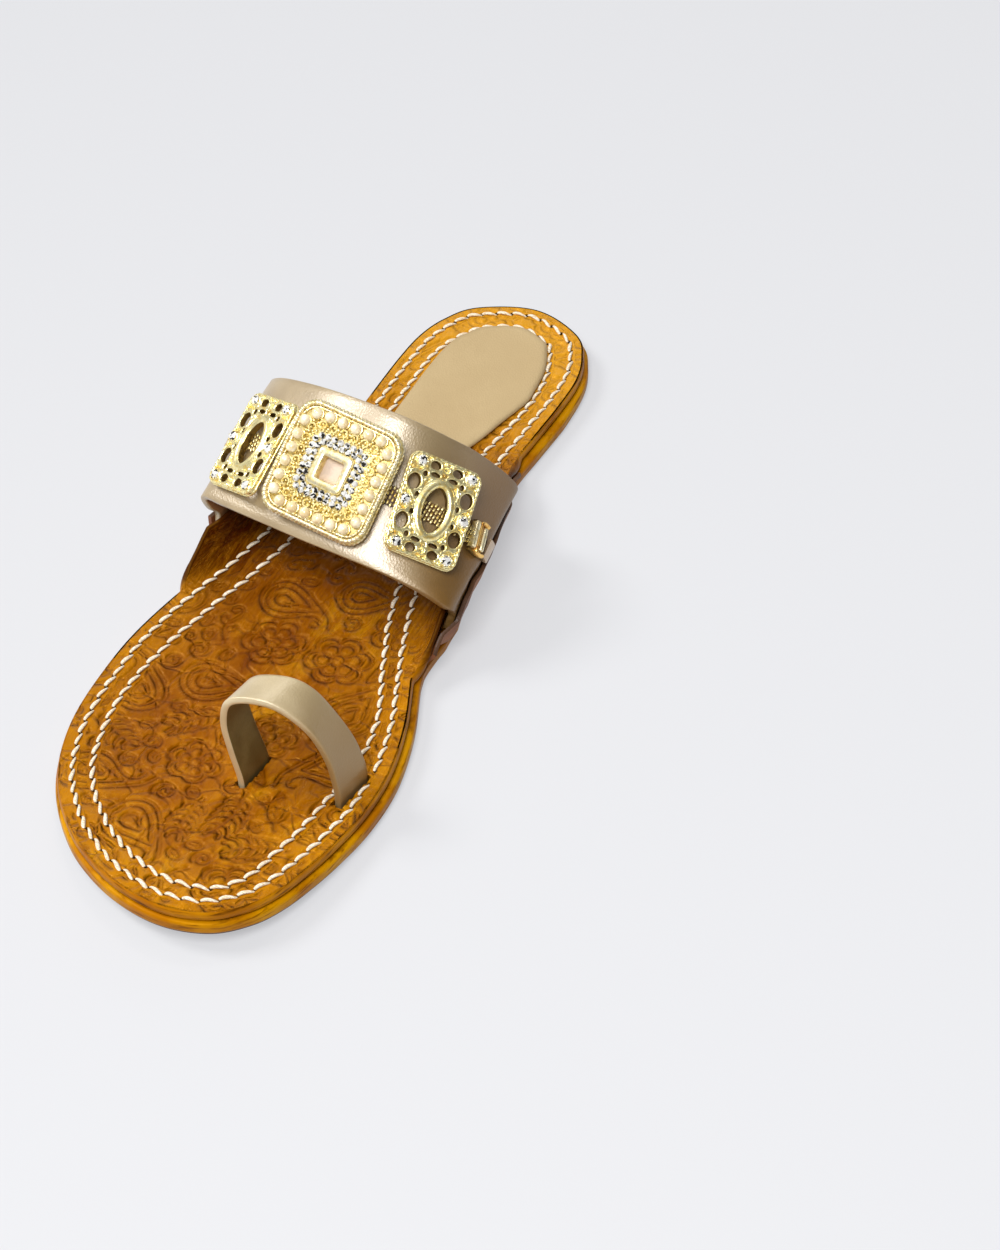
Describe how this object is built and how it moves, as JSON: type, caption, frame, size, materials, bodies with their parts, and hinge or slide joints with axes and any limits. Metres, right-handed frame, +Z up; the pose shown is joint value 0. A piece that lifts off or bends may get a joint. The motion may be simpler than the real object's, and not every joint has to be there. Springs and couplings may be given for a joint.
{
  "type": "kolhapuri chappal",
  "caption": "Flat leather toe-loop sandal with embossed tan sole, metallic instep band and gold ornament strip.",
  "frame": {"origin": "middle of the whole shoe's box, on the floor under the sole", "axes": "+Z up from the floor, -Y to the toe, +Y to the heel, -X to the outer (lateral) side of the foot, +X to the inner (medial) side"},
  "size_m": [0.0858, 0.2515, 0.0569],
  "materials": {
    "edge_leather": "yellow-dyed cut leather, satin",
    "tan_leather": "embossed oiled tan leather, satin",
    "natural_leather": "undyed flesh side, matt",
    "champagne_leather": "metallic champagne coating, satin",
    "sock_leather": "smooth beige, satin",
    "gold": "pale gold plating, bright"
  },
  "bodies": {
    "root": {"outsole": "edge_leather", "top_sole": "tan_leather", "outer_ear_lateral": "natural_leather", "outer_ear_medial": "natural_leather", "instep_band": "champagne_leather", "toe_loop": "champagne_leather", "tab_lateral": "champagne_leather", "tab_medial": "champagne_leather", "heel_pad": "sock_leather", "chain_strip": "gold", "plaque_centre": "gold", "plaque_lateral": "gold", "plaque_medial": "gold", "slide_medial": "gold"}
  },
  "joints": []
}
